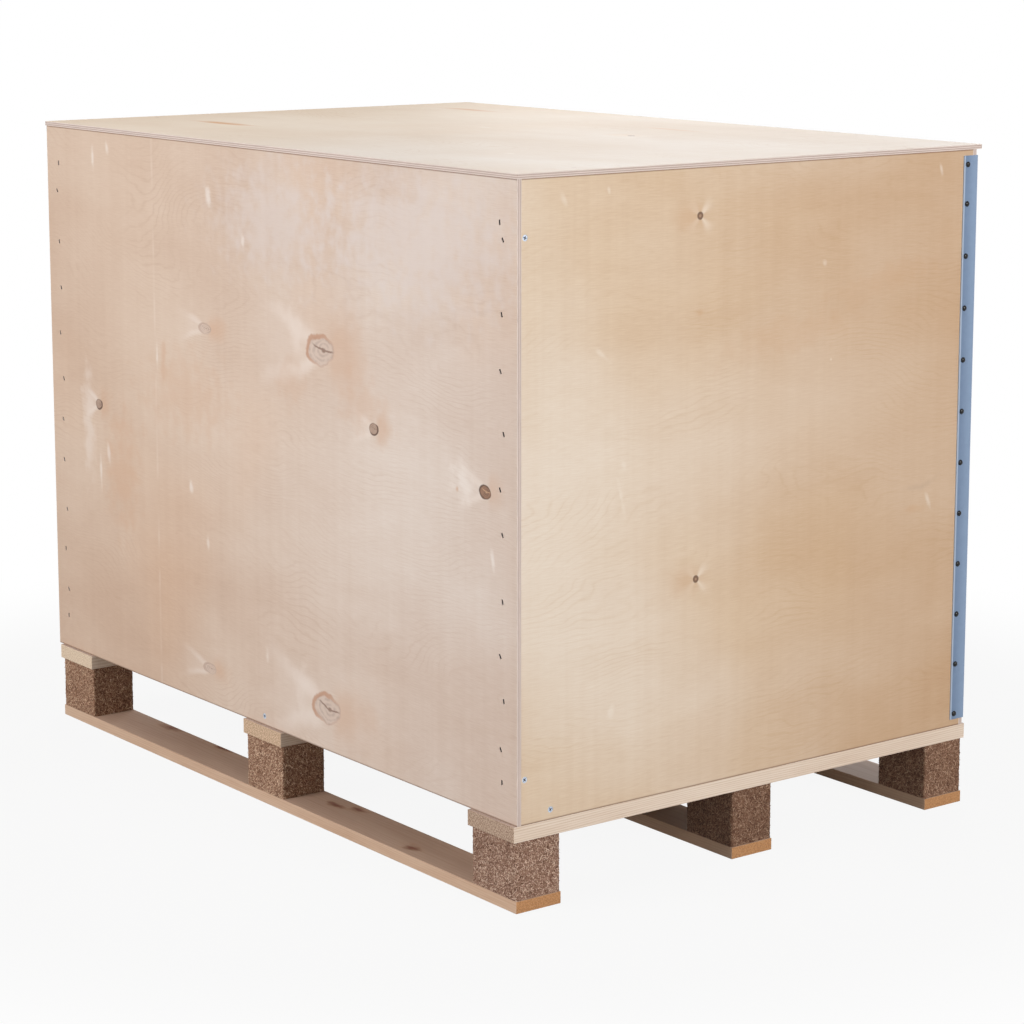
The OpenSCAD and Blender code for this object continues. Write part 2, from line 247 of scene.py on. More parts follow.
def setStage(look):
    half, drop = look["floorHalf"], -look["floorDrop"]
    mesh = bpy.data.meshes.new("floor")
    corners = [(x * half, y * half, drop) for x, y in ((-1, -1), (1, -1), (1, 1), (-1, 1))]
    mesh.from_pydata(corners, [], [(0, 1, 2, 3)])
    floor = bpy.data.objects.new("floor", mesh)
    scene.collection.objects.link(floor)
    material, g, surface = newMaterial("paleFloor")
    g.feed(surface, {"Base Color": look["floorColour"], "Roughness": look["floorRough"]})
    glow = g.add("ShaderNodeEmission", {"Color": white, "Strength": 1.0})
    x, y, _ = g.split3(g.objectPlace())
    out = g.fade(g.rootSum(x, y), *look["glowRun"])
    share = g.times(seenRay(g), g.blendValue(out, *look["floorGlow"]))
    mixed = g.add("ShaderNodeMixShader", {0: share, 1: surface.outputs[0], 2: glow.outputs[0]})
    g.plug(mixed.outputs[0], g.nodes["Material Output"].inputs[0])
    mesh.materials.append(material)

    world = bpy.data.worlds.new("studio")
    world.use_nodes = True
    scene.world = world
    g = Graph(world.node_tree)
    g.nodes.clear()
    light = g.add("ShaderNodeBackground", {"Color": look["ambient"], "Strength": look["ambientPower"]})
    bright = g.add("ShaderNodeBackground", {"Color": white, "Strength": 1.0})
    mixed = g.add("ShaderNodeMixShader", {0: seenRay(g), 1: light.outputs[0], 2: bright.outputs[0]})
    g.plug(mixed.outputs[0], g.add("ShaderNodeOutputWorld").inputs[0])

    for name, (place, aim, size, power, colour) in look["lamps"].items():
        lamp = bpy.data.lights.new(name, "AREA")
        lamp.shape = "SQUARE"
        lamp.size, lamp.energy, lamp.color = size, power, colour
        holder = bpy.data.objects.new(name, lamp)
        holder.location = place
        holder.rotation_euler = (Vector(aim) - Vector(place)).to_track_quat("-Z", "Y").to_euler()
        scene.collection.objects.link(holder)


setStage(stageLook)
print("stage set")


# shared effects

grainGives = sockets("Color", "Color") + sockets("Float", "Height")
veneerShape = {"blush": 0.5, "mottle": 0.18, "ringRise": 15, "ringDrift": 8, "ringPitch": 44, "lineSharp": 7,
               "bandSharp": 3, "band": 0.2, "fibre": 0.34, "peel": 0.14}


def birchVeneerGroup(shape):
    takes = sockets("Float", "Along", "Across", "Seed", "Swell", "Figure")
    takes += sockets("Color", "Pale", "Deep", "Blush", "Line")
    g, take = makeGroup("birchVeneer", takes, grainGives)
    place = g.join3(take["Along"], take["Across"], take["Seed"])
    tone = g.blend(g.fade(g.cloud(place, (2.1, 3.0, 1), 3), 0.30, 0.70), take["Deep"], take["Pale"])
    warm = g.fade(g.cloud(g.vec("ADD", place, (7.3, 2.1, 5.0)), (2.8, 2.2, 1), 2), 0.50, 0.80)
    tone = g.lay(tone, warm, shape["blush"], take["Blush"])
    tone = g.mottle(tone, shape["mottle"], g.cloud(place, (5, 19, 1), 4, 0.55, 0.8))
    # growth rings show as broken contour lines on a peeled sheet
    drift = g.cloud(place, (1.5, 2.3, 1), 2.5)
    field = g.mulAdd(take["Across"], shape["ringRise"], g.times(drift, shape["ringDrift"]))
    field = g.plus(field, g.plus(g.cloud(place, (6, 14, 1), 3), take["Swell"]))
    wave = g.wave(g.times(field, shape["ringPitch"]))
    gate = g.fade(g.cloud(g.vec("ADD", place, (3.1, 9.2, 2.0)), (5.5, 11, 1), 4), 0.42, 0.70)
    lines = g.times(g.times(g.calc("POWER", wave, shape["lineSharp"]), gate), take["Figure"])
    tone = g.blend(lines, tone, take["Line"])
    band = g.times(g.calc("POWER", wave, shape["bandSharp"]), take["Figure"])
    tone = g.lay(tone, band, shape["band"], take["Deep"])
    fibre = g.cloud(place, (42, 760, 1), 3, 0.6)
    tone = g.mottle(tone, shape["fibre"], fibre)
    peel = g.cloud(place, (58, 1.6, 1), 3, 0.6)  # faint knife marks across the grain
    tone = g.mottle(tone, shape["peel"], peel)
    height = g.mulAdd(fibre, 0.6, g.times(peel, 0.4))
    return g.giving(Color=tone, Height=g.minus(height, g.times(lines, 0.4)))


knotPlace = sockets("Float", "Along", "Across", "Centre Along", "Centre Across", "Half Length", "Half Height")


def fromCentre(g, take):  # distance from a knot's middle, in half lengths and half heights
    u = g.over(g.minus(take["Along"], take["Centre Along"]), take["Half Length"])
    v = g.over(g.minus(take["Across"], take["Centre Across"]), take["Half Height"])
    return u, v


def knotSwellGroup():  # how far a knot pushes the growth rings aside
    g, take = makeGroup("knotSwell", knotPlace, sockets("Float", "Swell"))
    u, v = fromCentre(g, take)
    square = g.mulAdd(u, u, g.times(v, v))
    return g.giving(Swell=g.over(1.0, g.mulAdd(square, 0.16, 1.0)))


def knotSurroundGroup():  # the grain parts round a knot: pale wings on one side, warm shade on the other
    g, take = makeGroup("knotSurround", knotPlace + sockets("Float", "Drift"), sockets("Float", "Pale", "Warm"))
    u, v = fromCentre(g, take)
    soft = g.minus(take["Drift"], 0.5)
    far = g.absolute(u)
    past = g.mulAdd(far, -0.55, g.absolute(g.mulAdd(soft, 1.9, v)))
    wing = g.fade(g.absolute(g.minus(past, 0.45)), 1.0, 0.1)
    fan = g.mulAdd(g.fade(past, 1.2, 0.0), 0.45, g.times(wing, 0.6))
    reach = g.times(g.fade(u, 0.3, -0.8), g.fade(g.mulAdd(soft, 4.0, far), 5.5, 0.9))
    warm = g.rootSum(g.over(g.plus(u, -1.3), 2.7), g.over(v, 3.3))
    warm = g.fade(g.mulAdd(soft, 1.5, warm), 1.05, 0.1)
    return g.giving(Pale=g.times(fan, reach), Warm=g.times(warm, g.fade(u, 0.2, 1.1)))


def knotGroup():
    takes = knotPlace + sockets("Float", "Rim Side", "Wobble", "Grit")
    g, take = makeGroup("veneerKnot", takes, sockets("Float", "Core", "Rim", "Rings", "Crack"))
    u, v = fromCentre(g, take)
    wobble = g.minus(take["Wobble"], 0.5)
    r = g.mulAdd(wobble, 0.6, g.rootSum(u, v))
    # the rim is heavier on one side
    lean = g.times(g.mulAdd(u, -0.7, g.times(v, 0.5)), take["Rim Side"])
    heavy = g.fade(lean, -0.55, 0.5)
    rimWidth = g.mulAdd(heavy, 0.13, 0.09)
    rim = g.fade(g.over(g.absolute(g.minus(r, 0.95)), rimWidth), 1.0, 0.35)
    rim = g.times(rim, g.mulAdd(heavy, 0.65, 0.35))
    pu, pv = g.plus(u, -0.24), g.plus(v, -0.05)  # the pith lies off the middle
    pr = g.mulAdd(wobble, 0.5, g.rootSum(pu, pv))
    rings = g.wave(g.times(pr, 21))
    rings = g.times(rings, g.fade(take["Grit"], 0.3, 0.65))

    def slit(line, width, start, end):
        return g.times(g.fade(g.absolute(line), *width), g.times(g.fade(pu, *start), g.fade(pu, *end)))

    left = slit(g.mulAdd(pu, 0.42, g.mulAdd(wobble, 0.5, pv)), (0.11, 0.02), (0.05, -0.05), (-0.95, -0.5))
    right = slit(g.mulAdd(wobble, 0.25, pv), (0.09, 0.02), (-0.05, 0.05), (0.8, 0.5))
    pith = g.fade(g.rootSum(pu, pv), 0.22, 0.06)
    crack = g.larger(g.larger(left, right), pith)
    return g.giving(Core=g.fade(r, 1.05, 0.93), Rim=rim, Rings=rings, Crack=crack)


def pinKnotGroup():  # small dark knot with pale rays to its corners
    gives = sockets("Float", "Core", "Heart", "Rays", "Warm")
    g, take = makeGroup("pinKnot", knotPlace + sockets("Float", "Wobble"), gives)
    u, v = fromCentre(g, take)
    wobble = g.minus(take["Wobble"], 0.5)
    r = g.rootSum(u, v)
    rough = g.mulAdd(wobble, 0.12, r)
    core, heart = g.fade(rough, 0.17, 0.12), g.fade(rough, 0.075, 0.03)
    askew = g.absolute(g.minus(g.absolute(u), g.absolute(v)))
    askew = g.over(askew, g.plus(r, 0.01))
    ray = g.fade(g.mulAdd(wobble, 0.8, askew), 0.75, 0.05)
    side = g.mulAdd(g.fade(u, -0.2, 0.2), 0.6, 0.4)  # stronger on one side
    rays = g.times(g.times(ray, side), g.fade(r, 1.0, 0.2))
    warm = g.rootSum(g.times(g.plus(u, 0.5), 0.8), g.times(v, 1.2))
    warm = g.fade(g.mulAdd(wobble, 0.6, warm), 1.0, 0.05)
    return g.giving(Core=core, Heart=heart, Rays=rays, Warm=warm)


def softMarkGroup():  # fleck, streak or faint swirl
    takes = knotPlace + sockets("Float", "Lean", "Bend", "Wobble")
    g, take = makeGroup("softMark", takes, sockets("Float", "Mask"))
    x = g.minus(take["Along"], take["Centre Along"])
    y = g.minus(take["Across"], take["Centre Across"])
    u = g.over(g.mulAdd(y, take["Lean"], x), take["Half Length"])
    v = g.over(g.minus(y, g.times(x, take["Lean"])), take["Half Height"])
    v = g.mulAdd(g.times(u, u), take["Bend"], v)
    edge = g.mulAdd(take["Wobble"], 1.8, g.minus(g.rootSum(u, v), 0.9))
    return g.giving(Mask=g.fade(edge, 1.0, 0.05))


def plyEdgeGroup():  # glued layers on a cut edge
    takes = sockets("Float", "Depth", "Run", "Rise", "Layers", "Thickness")
    takes += sockets("Color", "Long Grain", "End Grain", "Glue")
    g, take = makeGroup("plyEdge", takes, grainGives)
    place = g.join3(take["Run"], take["Rise"], take["Depth"])
    sway = g.minus(g.cloud(place, (14, 14, 0), 2), 0.5)
    level = g.times(g.over(take["Depth"], take["Thickness"]), take["Layers"])
    level = g.mulAdd(sway, 0.25, level)
    odd = g.calc("PINGPONG", g.calc("FLOOR", level), 1.0)
    tone = g.blend(odd, take["Long Grain"], take["End Grain"])
    streak = g.cloud(place, (60, 60, 1500), 3, 0.6)
    tone = g.mottle(tone, 0.4, streak)
    near = g.absolute(g.minus(g.calc("FRACT", level), 0.5))
    glue = g.times(g.fade(near, 0.40, 0.49), g.fade(g.cloud(place, (30, 30, 300), 2), 0.35, 0.6))
    tone = g.lay(tone, glue, 0.6, take["Glue"])
    return g.giving(Color=tone, Height=g.minus(streak, g.times(glue, 0.6)))


sawnShape = {"ringsAcross": 120, "ringsDeep": 290, "ringSway": 13, "fullTurn": 6.28, "lateSharp": 3, "fibre": 0.45,
             "mottle": 0.35, "endRings": 0.6, "teeth": 1900, "teethSway": 16, "teethDepth": 0.10}


def sawnGrainGroup(shape):
    takes = sockets("Float", "Along", "Across", "Depth", "Seed", "End", "Figure")
    takes += sockets("Color", "Pale", "Deep", "End Tone", "End Speck")
    g, take = makeGroup("sawnGrain", takes, grainGives)
    apart = g.join3(g.times(take["Seed"], 3.1), take["Seed"], 0.0)
    place = g.vec("ADD", g.join3(take["Along"], take["Across"], take["Depth"]), apart)
    sway = g.cloud(place, (1.1, 13, 13), 2.5)
    field = g.mulAdd(take["Across"], shape["ringsAcross"], g.times(take["Depth"], shape["ringsDeep"]))
    field = g.mulAdd(sway, shape["ringSway"], field)
    late = g.calc("POWER", g.wave(g.times(field, shape["fullTurn"])), shape["lateSharp"])
    late = g.times(late, take["Figure"])
    tone = g.blend(late, take["Pale"], take["Deep"])
    fibre = g.cloud(place, (16, 620, 620), 3, 0.6)
    tone = g.mottle(tone, shape["fibre"], fibre)
    tone = g.mottle(tone, shape["mottle"], g.cloud(place, (4, 16, 16), 3))
    speck = g.cloud(place, (620, 520, 520), 2.5, 0.65)
    ends = g.blend(g.fade(speck, 0.40, 0.60), take["End Speck"], take["End Tone"])
    ends = g.lay(ends, late, shape["endRings"], take["Deep"])
    tone = g.blend(take["End"], tone, ends)
    blade = g.calc("SINE", g.mulAdd(take["Along"], shape["teeth"], g.times(sway, shape["teethSway"])))
    height = g.mulAdd(blade, shape["teethDepth"], fibre)
    return g.giving(Color=tone, Height=g.mulAdd(speck, take["End"], height))


chipShape = {"bendScale": 70.0, "bend": 0.006, "dust": 0.45, "mottle": 0.35,
             "layers": [((200, 960, 960), (0.3, 0.9, 0.2), 0.6), ((960, 960, 230), (0.8, 0.5, 0.3), -0.5),
                        ((880, 215, 960), (0.5, 0.2, 0.8), 0.7)]}  # stretch, axis and turn


def pressedChipGroup(shape):
    takes = sockets("Vector", "Place") + sockets("Color", "Dark", "Middle", "Pale")
    g, take = makeGroup("pressedChip", takes, grainGives)
    bent = g.add("ShaderNodeTexNoise", {"Vector": take["Place"], "Scale": shape["bendScale"], "Detail": 2.0})
    shift = g.vec("MULTIPLY", g.vec("SUBTRACT", bent.outputs["Color"], (0.5, 0.5, 0.5)), (shape["bend"],) * 3)
    shifted = g.vec("ADD", take["Place"], shift)
    top = 0.0
    for stretch, axis, turn in shape["layers"]:
        turned = g.add("ShaderNodeVectorRotate", {"Vector": shifted, "Axis": axis, "Angle": turn})
        cell = g.add("ShaderNodeTexVoronoi", {"Vector": g.vec("MULTIPLY", turned.outputs[0], stretch), "Scale": 1.0})
        lift = g.mulAdd(cell.outputs["Distance"], -0.3, g.split3(cell.outputs["Color"])[0])
        top = g.larger(top, lift)
    tone = g.blend(g.fade(top, 0.22, 0.64), take["Dark"], take["Middle"])
    tone = g.blend(g.fade(top, 0.70, 0.92), tone, take["Pale"])
    dust = g.cloud(take["Place"], (1500, 1500, 1500), 2)
    tone = g.mottle(tone, shape["dust"], dust)
    tone = g.mottle(tone, shape["mottle"], g.cloud(take["Place"], (45, 45, 45), 2))
    return g.giving(Color=tone, Height=g.mulAdd(dust, 0.2, top))


def spangleGroup():  # zinc crystals under drawn lines
    takes = sockets("Vector", "Place") + sockets("Float", "Size")
    g, take = makeGroup("zincSpangle", takes, sockets("Float", "Tone", "Height"))
    cell = g.add("ShaderNodeTexVoronoi", {"Vector": take["Place"], "Scale": take["Size"]})
    drawn = g.cloud(take["Place"], (700, 700, 9), 2)
    tone = g.mulAdd(g.split3(cell.outputs["Color"])[0], 0.35, g.times(drawn, 0.65))
    return g.giving(Tone=tone, Height=drawn)


birchVeneer, plyEdge = birchVeneerGroup(veneerShape), plyEdgeGroup()
knotSwell, knotSurround, veneerKnot = knotSwellGroup(), knotSurroundGroup(), knotGroup()
pinKnot, softMark = pinKnotGroup(), softMarkGroup()
sawnGrain, pressedChip, zincSpangle = sawnGrainGroup(sawnShape), pressedChipGroup(chipShape), spangleGroup()
print("shared effects built")


# plywood sheets, in millimetres along and across the grain
# knots: middle, half sizes, kind; pins: middle, reach; marks: middle, half sizes, lean, bend, tone, share

edgeLook = {"Long Grain": paint(222, 208, 200), "End Grain": paint(188, 166, 157), "Glue": paint(134, 106, 94),
            "Layers": 5.0}

knotKinds = {
    "big": {**paints(heart=(210, 190, 177), ring=(188, 167, 155), rim=(188, 144, 118), crack=(122, 90, 74)),
            "core": 0.9, "rimShare": 0.8, "crackShare": 0.75, "pale": 0.7, "warm": 0.4, "rimSide": 1.0, "swell": 0.6},
    "grey": {**paints(heart=(172, 146, 130), ring=(140, 112, 96), rim=(86, 60, 48), crack=(118, 90, 76)),
             "core": 0.92, "rimShare": 0.9, "crackShare": 0.35,
             "pale": 0.75, "warm": 0.4, "rimSide": -1.3, "swell": 0.3},
    "dark": {**paints(heart=(142, 104, 80), ring=(92, 64, 48), rim=(74, 52, 42), crack=(210, 172, 138)),
             "core": 0.92, "rimShare": 0.9, "crackShare": 0.75,
             "pale": 0.75, "warm": 0.35, "rimSide": 0.25, "swell": 0.3},
    "faint": {**paints(heart=(210, 188, 174), ring=(178, 154, 142), rim=(180, 150, 134), crack=(158, 130, 114)),
              "core": 0.75, "rimShare": 0.55, "crackShare": 0.4,
              "pale": 0.6, "warm": 0.5, "rimSide": 0.6, "swell": 0.5},
}

frontLook = {
    "axes": (0, 2, 1), "outer": -1, "seed": 1.0, "figure": 0.21,
    **paints(pale=(226, 206, 189), deep=(212, 186, 166), blush=(222, 188, 160), line=(190, 154, 128)),
    "startTintAndShade": (0.90, 0.865, 0.835, 1), "endTintAndShade": (0.965, 1.02, 1.10, 1), "tintAndShadeRun": (-420, 520),
    "tones": paints(fleck=(242, 233, 226), halo=(232, 218, 208), shade=(206, 166, 136), cool=(219, 207, 202),
                    seam=(232, 217, 206)),
    "knots": [(153, 666, 34, 21, "big"), (159, 172, 34, 21, "big"), (278, 577, 11, 8, "grey"),
              (523, 531, 11.5, 9, "dark"), (-457, 513, 10, 8, "grey"), (-144, 663, 17, 8, "faint"),
              (-146, 166, 17, 8, "faint")],
    "pins": [],
    "marks": [
        (380, 830, 300, 130, 0, 0, "cool", 0.6), (40, 830, 220, 110, 0, 0, "cool", 0.55),
        (-200, 560, 170, 85, 0, 0, "shade", 0.32), (-390, 420, 75, 130, 0, 0, "shade", 0.45),
        (255, 605, 95, 55, -0.3, 0, "shade", 0.3), (80, 615, 45, 50, 0, 0, "shade", 0.25),
        (-129, 855, 11, 19, 0.1, 0, "fleck", 0.5), (-39, 798, 6, 14, 0.05, 0, "fleck", 0.45),
        (-280, 612, 5, 30, 0, 0, "fleck", 0.7), (-262, 604, 12, 40, 0, 0, "shade", 0.4),
        (-191, 430, 8, 18, 0.1, 0, "fleck", 0.6), (-145, 351, 6, 15, 0.1, 0, "fleck", 0.45),
        (-459, 886, 6, 26, 0, 0, "fleck", 0.5), (-416, 905, 6, 12, 0.2, 0, "fleck", 0.45),
        (-455, 412, 5, 38, 0, 0, "fleck", 0.5), (-430, 440, 7, 22, 0.2, 0, "fleck", 0.45),
        (-490, 480, 26, 120, 0, 0, "halo", 0.5), (92, 690, 30, 48, 0.2, 0, "halo", 0.5),
        (100, 190, 28, 44, 0.2, 0, "halo", 0.5), (476, 536, 34, 38, 0.2, 0, "fleck", 0.5),
        (464, 526, 5, 7, 0, 0, "shade", 0.8), (539, 446, 6, 20, 0.15, 0, "fleck", 0.6),
        (10, 215, 6, 16, 0.1, 0, "fleck", 0.4)],
    "joints": [-285],
}

rightLook = {
    "axes": (1, 2, 0), "outer": 1, "seed": 4.0, "figure": 0.18,
    **paints(pale=(228, 210, 190), deep=(215, 188, 158), blush=(219, 192, 158), line=(196, 160, 118)),
    "startTintAndShade": (1.01, 1.04, 1.085, 1), "endTintAndShade": (0.785, 0.685, 0.60, 1), "tintAndShadeRun": (-380, 395),
    "tones": paints(fleck=(240, 230, 218), halo=(240, 228, 214), shade=(198, 156, 118), grey=(186, 160, 138)),
    "knots": [], "pins": [(-103, 864, 34), (-104, 392, 34)],
    "marks": [
        (-252, 904, 4, 8, 0.3, 0, "fleck", 0.4), (-322, 897, 7, 15, 0.5, 0, "fleck", 0.35),
        (-262, 700, 26, 6, -0.7, 0.4, "fleck", 0.35), (-230, 515, 5, 30, 0.25, 0, "fleck", 0.35),
        (300, 466, 44, 8, 0.1, -1.4, "grey", 0.55), (316, 447, 6, 16, 0.5, 0, "fleck", 0.4),
        (60, 700, 160, 40, 0.1, 0.3, "shade", 0.2), (230, 760, 140, 30, 0.2, 0.4, "shade", 0.22),
        (285, 437, 28, 8, -0.1, 0, "shade", 0.3), (327, 903, 5, 14, 0.3, 0, "fleck", 0.45),
        (114, 789, 6, 8, 0.2, 0, "fleck", 0.35), (-245, 239, 9, 14, -0.5, 0.3, "fleck", 0.4),
        (-225, 555, 6, 10, 0.3, 0, "fleck", 0.35), (129, 659, 4, 4, 0, 0, "fleck", 0.5),
        (-102, 740, 12, 7, 0.1, 0, "shade", 0.4)],
    "joints": [],
}

rearLook = dict(frontLook, outer=1, seed=11.0, joints=[215],
                knots=[(-310, 600, 30, 19, "big"), (-300, 200, 28, 17, "big"), (190, 700, 12, 10, "grey"),
                       (330, 330, 11, 9, "dark"), (20, 430, 16, 9, "faint")],
                marks=[(-90, 820, 6, 13, 0.1, 0, "fleck", 0.5), (240, 520, 5, 15, 0.1, 0, "fleck", 0.5),
                       (-420, 380, 5, 12, 0, 0, "fleck", 0.4), (80, 250, 6, 12, 0.2, 0, "fleck", 0.4)])

leftLook = dict(rightLook, outer=-1, seed=17.0, pins=[(140, 760, 44), (130, 310, 42)],
                marks=[(-180, 640, 8, 13, 0.4, 0, "fleck", 0.4), (-60, 240, 6, 12, 0.2, 0, "fleck", 0.4),
                       (230, 480, 26, 7, -0.2, -1.0, "grey", 0.4)])

lidLook = {
    "axes": (0, 1, 2), "outer": 1, "seed": 23.0, "figure": 0.26,
    **paints(pale=(236, 224, 211), deep=(225, 207, 188), blush=(229, 209, 188), line=(206, 176, 144)),
    "startTintAndShade": (0.95, 0.90, 0.83, 1), "endTintAndShade": (0.88, 0.89, 0.915, 1), "tintAndShadeRun": (-500, 450), "ragged": (7, 60, 1),
    "tones": paints(fleck=(244, 237, 228), halo=(243, 234, 224), shade=(222, 196, 168), streak=(206, 152, 100)),
    "knots": [], "pins": [(180, 120, 36)],
    "marks": [
        (330, -210, 14, 6, 0, 0, "fleck", 0.4), (-90, 60, 16, 7, 0, 0, "fleck", 0.4),
        (-405, -200, 105, 20, 0, 0, "streak", 0.85), (-430, 284, 95, 20, 0, 0, "streak", 0.75),
        (120, 250, 90, 14, 0, 0, "streak", 0.35)],
    "joints": [],
}

seamLook = {"side": 0.1, "line": 0.3, "halfWidth": 4, "halfCore": 1}
pinLook = {"swell": 0.6, "warm": 0.35, "rays": 0.5, "core": 0.9, "coreTone": paint(104, 74, 56),
           "heart": 0.7, "heartTone": paint(176, 144, 118)}
# painted shade: a dark line along each wall's foot and top edge, where the pallet and the lid meet it
wallJointShade = {"share": 0.75, "tone": paint(124, 92, 74), "foot": (2.6, 0.5), "top": (2.4, 0.4)}
sheetFinish = {"bump": (0.25, 0.0004), "rough": (0.12, 0.52), "specular": 0.3}


def placeMark(g, group, along, across, spot, **extra):  # spot: middle along and across, half length, half height
    feeds = {"Along": along, "Across": across, **extra}
    for label, size in zip(("Centre Along", "Centre Across", "Half Length", "Half Height"), spot):
        feeds[label] = size * mm
    return g.place(group, feeds)


def plywood(name, look, low, high):
    material, g, surface = newMaterial(name)
    axes = g.split3(g.objectPlace())
    along, across, depth = (axes[i] for i in look["axes"])
    tones = look["tones"]
    place = g.join3(along, across, look["seed"])
    drift, grit = g.cloud(place, (16, 16, 1), 4), g.cloud(place, (95, 95, 1), 2)
    wobble = g.cloud(place, look.get("ragged", (48, 42, 1)), 3)

    def mark(group, spot, **extra):
        return placeMark(g, group, along, across, spot, **extra)

    knots = [(knot[:4], knotKinds[knot[4]]) for knot in look["knots"]]
    bulges = [(spot, kind["swell"]) for spot, kind in knots]
    bulges += [((x, y, reach / 3, reach / 3), pinLook["swell"]) for x, y, reach in look["pins"]]
    swell = 0.0
    for spot, share in bulges:
        swell = g.mulAdd(mark(knotSwell, spot)["Swell"], share, swell)
    feeds = {label.title(): look[label] for label in ("seed", "figure", "pale", "deep", "blush", "line")}
    sheet = g.place(birchVeneer, dict(feeds, Along=along, Across=across, Swell=swell))
    # tint along the sheet: partly the veneer's own colour drift, partly painted shade from light falling off along the
    # sheet
    run = g.fade(along, *(end * mm for end in look["tintAndShadeRun"]))
    plain = g.blend(1.0, sheet["Color"], g.blend(run, look["startTintAndShade"], look["endTintAndShade"]), "MULTIPLY")
    tone = plain
    for x in look["joints"]:  # edge-glued veneer
        off = g.absolute(g.minus(along, x * mm))
        broken = g.fade(g.cloud(g.join3(0.0, across, 0.0), (1, 14, 1), 3), 0.36, 0.66)
        line = g.times(g.fade(off, seamLook["halfWidth"] * mm, seamLook["halfCore"] * mm), broken)
        tone = g.lay(tone, g.fade(along, (x + 1) * mm, (x - 1) * mm), seamLook["side"], look["deep"])
        tone = g.lay(tone, line, seamLook["line"], tones["seam"])
    for spot, kind in knots:
        out = mark(knotSurround, spot, Drift=drift)
        tone = g.lay(tone, out["Warm"], kind["warm"], tones["shade"])
        tone = g.lay(tone, out["Pale"], kind["pale"], tones["halo"])
    for *spot, lean, bend, kind, share in look["marks"]:
        mask = mark(softMark, spot, Lean=lean, Bend=bend, Wobble=wobble)["Mask"]
        tone = g.lay(tone, mask, share, tones[kind])
    for spot, kind in knots:
        out = mark(veneerKnot, spot, **{"Rim Side": kind["rimSide"], "Wobble": wobble, "Grit": grit})
        tone = g.lay(tone, out["Core"], kind["core"], g.blend(out["Rings"], kind["heart"], kind["ring"]))
        tone = g.lay(tone, out["Rim"], kind["rimShare"], kind["rim"])
        tone = g.lay(tone, g.times(out["Crack"], out["Core"]), kind["crackShare"], kind["crack"])
    for x, y, reach in look["pins"]:
        out = mark(pinKnot, (x, y, reach, reach), Wobble=wobble)
        tone = g.lay(tone, out["Warm"], pinLook["warm"], tones["shade"])
        tone = g.lay(tone, out["Rays"], pinLook["rays"], tones["halo"])
        tone = g.lay(tone, out["Core"], pinLook["core"], pinLook["coreTone"])
        tone = g.lay(tone, out["Heart"], pinLook["heart"], pinLook["heartTone"])
    axis = look["axes"][2]
    middle, side = (low[axis] + high[axis]) / 2, look["outer"] * 0.5 * mm
    tone = g.blend(g.fade(depth, middle - side, middle + side), plain, tone)  # the inner face has no knots
    if look["axes"][1] == 2:  # painted shade: a dark line where a wall meets the pallet and the lid
        foot = g.fade(across, *(low[2] + off * mm for off in wallJointShade["foot"]))
        top = g.fade(across, *(high[2] - off * mm for off in wallJointShade["top"]))
        tone = g.lay(tone, g.larger(foot, top), wallJointShade["share"], wallJointShade["tone"])
    # cut edges show the layers
    rim = g.fade(g.split3(g.vec("ABSOLUTE", g.faceNormal()))[axis], 0.9, 0.6)
    feeds = {"Depth": g.minus(depth, low[axis]), "Run": along, "Rise": across, "Thickness": high[axis] - low[axis]}
    edge = g.place(plyEdge, dict(feeds, **edgeLook))
    height = g.blendValue(rim, sheet["Height"], edge["Height"])
    dressSurface(g, surface, g.blend(rim, tone, edge["Color"]), height, sheetFinish)
    return material


# sawn boards

runnerLook = {**paints(pale=(208, 176, 151), deep=(184, 146, 118), end=(198, 148, 102), speck=(172, 122, 80),
                       knot=(124, 76, 62)), "figure": 0.35, "topShade": 0.4}
bearerLook = {**paints(pale=(229, 211, 194), deep=(202, 175, 150)), "figure": 0.6, "topShade": 0.65}
deckLook = {**paints(pale=(216, 192, 160), deep=(182, 146, 110), end=(180, 148, 116), speck=(138, 106, 80),
                     knot=(128, 86, 60)), "figure": 0.5, "topShade": 0.15}
# painted shade: the colour laid over the upward faces of the pallet's boards
topShadeTone = paint(152, 126, 118)
knotLayers = ((2.4, 0.4, "deep"), (1.4, 0.9, "knot"))  # size, share and tone
sawnFinish = {"bump": (0.45, 0.0006), "rough": (0.15, 0.62), "specular": 0.25}


def sawnWood(name, look, axes, seed, knots=()):
    material, g, surface = newMaterial(name)
    xyz = g.split3(g.objectPlace())
    along, across, depth = (xyz[i] for i in axes)
    normal = g.faceNormal()
    end = g.fade(g.split3(g.vec("ABSOLUTE", normal))[axes[0]], 0.5, 0.8)
    feeds = {"Along": along, "Across": across, "Depth": depth, "Seed": seed, "End": end, "Figure": look["figure"],
             "Pale": look["pale"], "Deep": look["deep"], "End Tone": look["end"], "End Speck": look["speck"]}
    grain = g.place(sawnGrain, feeds)
    # painted shade: faces that point up are darkened
    tone = g.lay(grain["Color"], g.fade(g.split3(normal)[2], 0.4, 0.9), look["topShade"], topShadeTone)
    wobble = g.cloud(g.join3(along, across, seed), (40, 90, 1), 3)
    for x, y, halfLength, halfHeight in knots:
        for size, share, colour in knotLayers:
            spot = (x, y, size * halfLength, size * halfHeight)
            mask = placeMark(g, softMark, along, across, spot, Wobble=wobble)["Mask"]
            tone = g.lay(tone, mask, share, look[colour])
    dressSurface(g, surface, tone, grain["Height"], sawnFinish)
    return material


# pressed chip blocks and the slivers on them

chipLook = paints(Dark=(92, 60, 44), Middle=(144, 110, 89), Pale=(206, 178, 152))
chipFinish = {"bump": (0.7, 0.0009), "rough": (-0.15, 0.85), "specular": 0.25}
sliverLook = paints(dark=(156, 120, 96), pale=(230, 204, 178))
sliverFinish = {"bump": (0.3, 0.0003), "rough": (0.2, 0.6), "specular": 0.5}


def dim(colour, shade):
    return tuple(c * s for c, s in zip(colour, shade)) + (1.0,)


